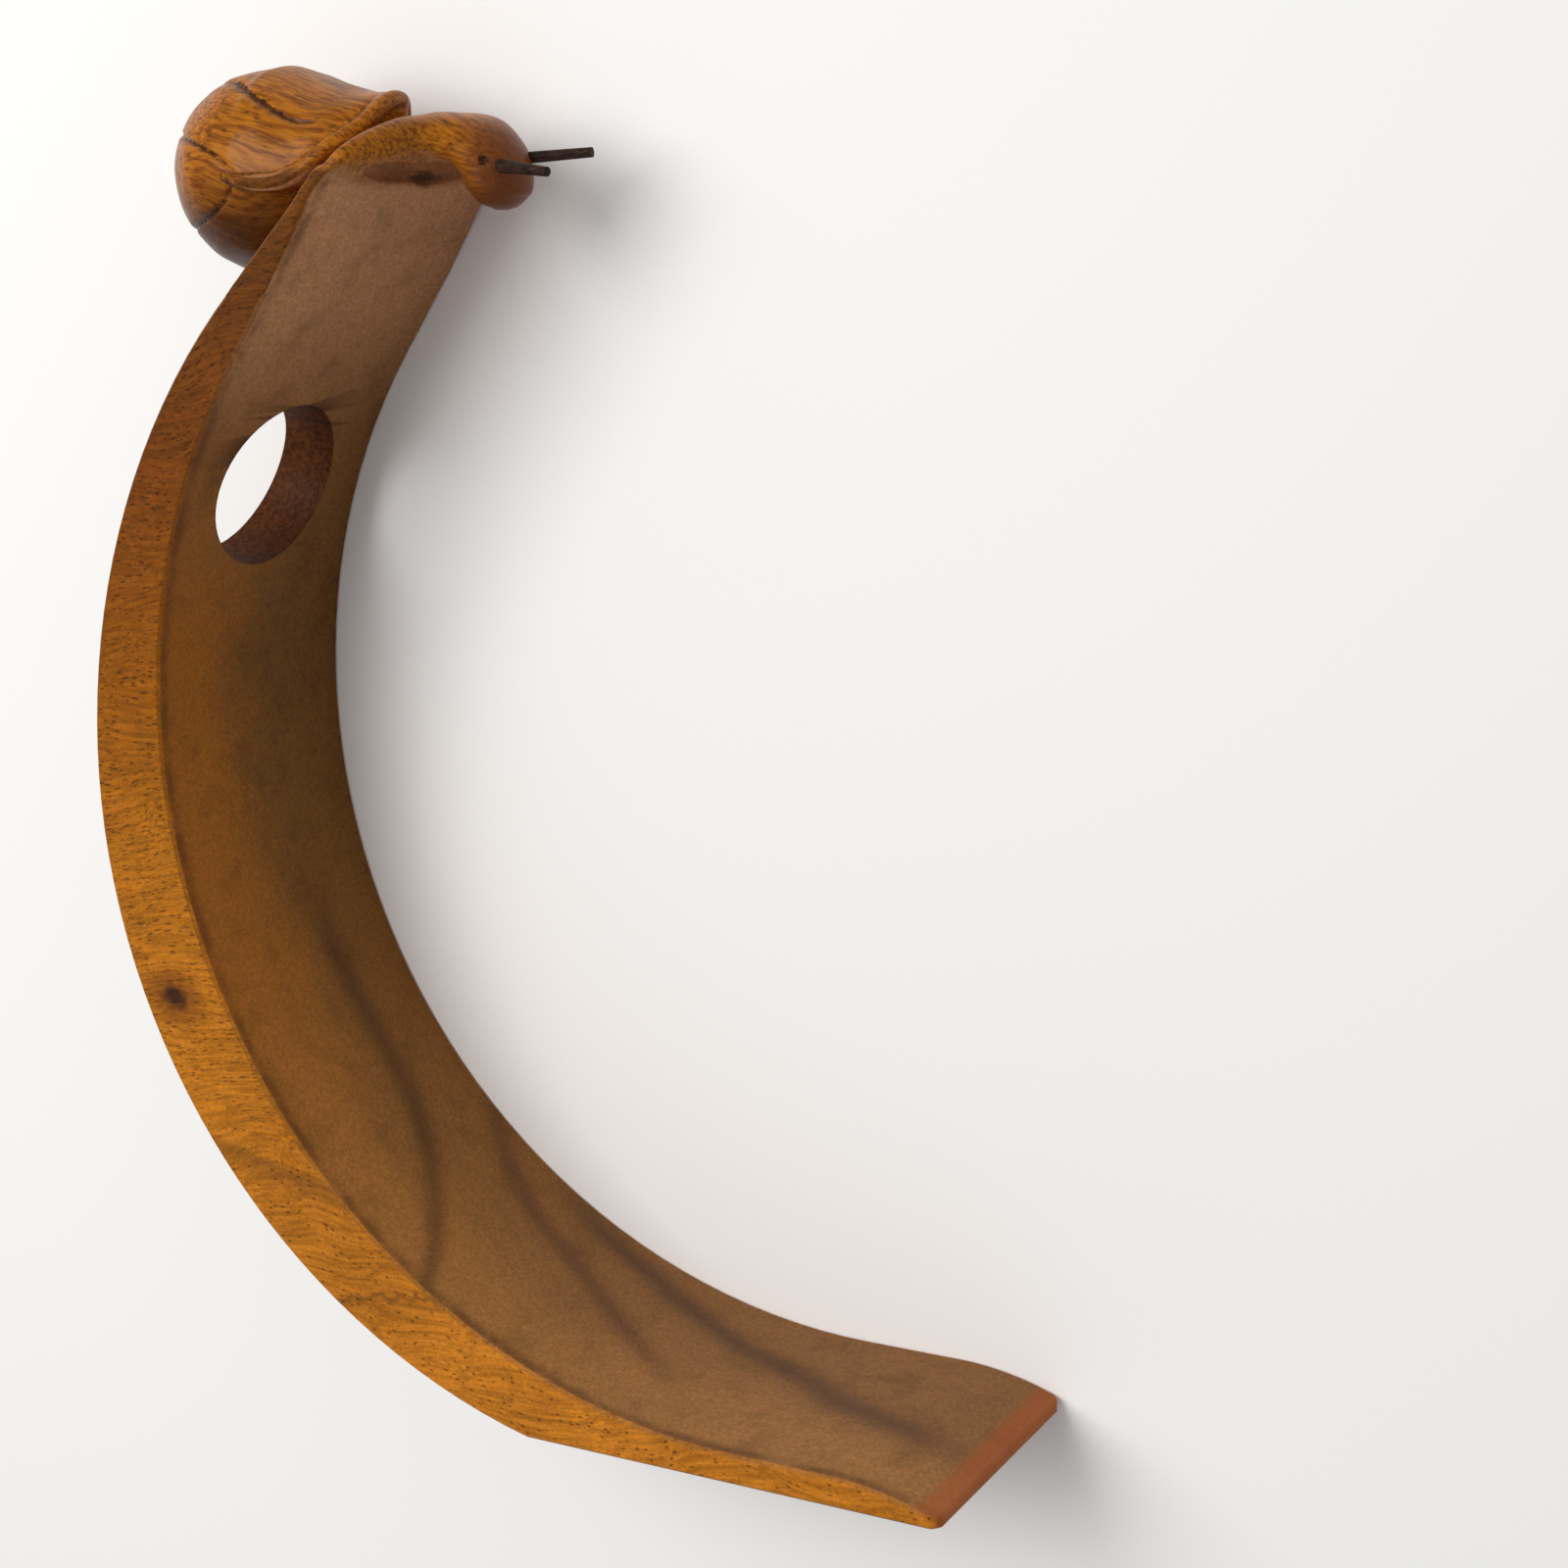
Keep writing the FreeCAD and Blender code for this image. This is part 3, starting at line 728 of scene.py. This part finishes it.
def carving(x, y, z):
    # signed distance of the board's end with the snail on it, and the painted shade of its grooves, creases
    # and hollows (in the eye pits also the eyes' own dark colour)
    board = board_end(x, y, z)
    deep = groove_depth(x[..., 0], y[..., 0])[..., None]
    shell = blend(ellipsoid(x, y, z, SHELL_AT + (0,), SHELL_RADII), hood_shape(x, y, z), HOOD_SOFT) + deep
    lip = lip_shape(x, y, z)
    # painted shade along the grooves and in the crease under the lip
    dark = np.maximum(deep / GROOVE_DEEP, 0.7 * np.exp(-((shell + lip) / 0.7) ** 2))
    shell = blend(shell, lip, LIP_SOFT)
    neck = neck_shape(x, y, z)
    for middle in EYES:
        eye = ellipsoid(x, y, z, middle, (EYE_R,) * 3)
        neck = carve(neck, eye, EYE_SOFT)
        # the eye pits painted dark: partly the eyes' own dark colour, partly painted shade in the pit
        dark = np.maximum(dark, np.clip(1.3 - 2.6 * np.abs(eye), 0, 1))
    body = blend(board, neck, NECK_SOFT)
    for middle, radii, shade in SCOOPS:
        scoop = ellipsoid(x, y, z, middle, radii)
        body = carve(body, scoop, SCOOP_SOFT)
        # painted shade in the hollows under the neck
        inside = np.clip(0.35 - board / 2.4, 0, 1)
        dark = np.maximum(dark, shade * np.clip(1.4 - np.abs(scoop), 0, 1) * inside)
    body = blend(body, saddle_shape(x, y, z), SADDLE_SOFT)
    # painted shade in the crease where the shell meets the body
    dark = np.maximum(dark, np.exp(-((body + shell) / 0.9) ** 2))
    body = blend(body, shell, SHELL_SOFT)
    snail = np.clip(board, 0, 1)
    return body + knife_marks(x, y, z) * snail, dark


def net_faces(inside, number):
    # one quad round each grid edge whose ends differ
    quads = []
    for axis in range(3):
        low = np.take(inside, range(inside.shape[axis] - 1), axis)
        high = np.take(inside, range(1, inside.shape[axis]), axis)
        at = np.argwhere(low != high)
        first, second = [other for other in range(3) if other != axis]
        for other in (first, second):
            at = at[(at[:, other] > 0) & (at[:, other] < inside.shape[other] - 1)]
        corners = []
        for a, b in ((0, 0), (1, 0), (1, 1), (0, 1)):
            cell = at.copy()
            cell[:, first] -= a
            cell[:, second] -= b
            corners.append(number[cell[:, 0], cell[:, 1], cell[:, 2]])
        quad = np.stack(corners, 1)
        flip = low[at[:, 0], at[:, 1], at[:, 2]] ^ (axis == 1)
        quad[flip] = quad[flip][:, ::-1]
        quads.append(quad)
    return np.vstack(quads)


def surface_net(field, corner):
    # points and quads of the surface where the field is 0
    inside = field < 0
    cells = tuple(n - 1 for n in field.shape)
    total = np.zeros(cells + (3,))
    count = np.zeros(cells)
    for axis in range(3):
        low = [slice(None)] * 3
        high = [slice(None)] * 3
        low[axis] = slice(0, -1)
        high[axis] = slice(1, None)
        a, b = field[tuple(low)], field[tuple(high)]
        crossed = (a < 0) != (b < 0)
        part = np.where(crossed, a / np.where(crossed, a - b, 1), 0)
        others = [other for other in range(3) if other != axis]
        for i in (0, 1):
            for j in (0, 1):
                pick = [slice(None)] * 3
                pick[others[0]] = slice(i, i + cells[others[0]])
                pick[others[1]] = slice(j, j + cells[others[1]])
                hit = crossed[tuple(pick)]
                total[..., axis] += part[tuple(pick)]
                total[..., others[0]] += hit * i
                total[..., others[1]] += hit * j
                count += hit
    active = count > 0
    number = np.full(cells, -1)
    number[active] = np.arange(active.sum())
    points = (np.argwhere(active) + total[active] / count[active][:, None]) * PITCH + corner
    return points, net_faces(inside, number)


def carved_mesh():
    (x0, x1), (y0, y1), z1 = CARVED_BOX
    x = np.arange(x0, x1, PITCH)[:, None, None]
    y = np.arange(y0, y1, PITCH)[None, :, None]
    z = np.arange(-z1, z1 + PITCH, PITCH)[None, None, :]
    x, y = np.broadcast_arrays(x, y)
    field, dark = carving(x, y, z)
    below = SEAM - EDGE[1] - y
    field = field + SEAM_INSET * np.clip(below / SEAM_FADE, 0, 1)
    field = np.maximum(field, y0 + PITCH * 1.5 - y)
    points, quads = surface_net(field, np.array([x0, y0, -z1]))
    cell = np.round((points - (x0, y0, -z1)) / PITCH).astype(int)
    points = points + np.array([EDGE[0], EDGE[1], MID / MM])
    points[:, 2] = np.clip(points[:, 2], SIDE_CLEAR, BOARD / MM - SIDE_CLEAR)
    return points, quads, dark[cell[:, 0], cell[:, 1], cell[:, 2]]


def lower_board():
    # the solid's own mesh up to the seam
    mesh = bmesh.new()
    mesh.from_mesh(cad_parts["carved_holder"].data)
    bmesh.ops.remove_doubles(mesh, verts=mesh.verts, dist=1e-6)
    everything = mesh.verts[:] + mesh.edges[:] + mesh.faces[:]
    cut = bmesh.ops.bisect_plane(mesh, geom=everything, plane_co=(0, SEAM * MM, 0), plane_no=(0, 1, 0),
                                 clear_outer=True)
    edges = [item for item in cut["geom_cut"] if isinstance(item, bmesh.types.BMEdge)]
    bmesh.ops.holes_fill(mesh, edges=edges)
    return mesh


def carved_piece(material):
    mesh = lower_board()
    for edge in mesh.edges:
        edge.smooth = len(edge.link_faces) == 2 and edge.calc_face_angle(0) < math.radians(SHARP)
    points, quads, dark = carved_mesh()
    plain_points = len(mesh.verts)
    verts = [mesh.verts.new(Vector(point) * MM) for point in points]
    for quad in quads:
        mesh.faces.new([verts[number] for number in quad])
    for face in mesh.faces:
        face.smooth = True
    data = bpy.data.meshes.new("carved_piece")
    mesh.to_mesh(data)
    mesh.free()
    data.materials.append(material)
    creases = data.attributes.new("crease_shade", "FLOAT", "POINT")
    creases.data.foreach_set("value", np.concatenate([np.zeros(plain_points), dark]))
    piece = bpy.data.objects.new("carved_piece", data)
    bpy.context.collection.objects.link(piece)
    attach(piece, "root")
    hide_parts("carved_holder")


def repaint(node, material):
    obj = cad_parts[node]
    obj.data.materials.clear()
    obj.data.materials.append(material)


def add_floor():
    bpy.ops.mesh.primitive_plane_add(size=FLOOR_SIZE, location=(0, 0, 0))
    floor = bpy.context.object
    floor.name = "floor"
    floor.data.materials.append(plain("floor_white", FLOOR, 0.9))


add_camera()
add_world()
add_floor()
area_light("key", KEY_TOWARDS, KEY_DISTANCE, KEY_SIZE, KEY_POWER, KEY_TINT)

carved_piece(carved_wood())
stick = feeler_wood()
repaint("near_feeler", stick)
repaint("far_feeler", stick)
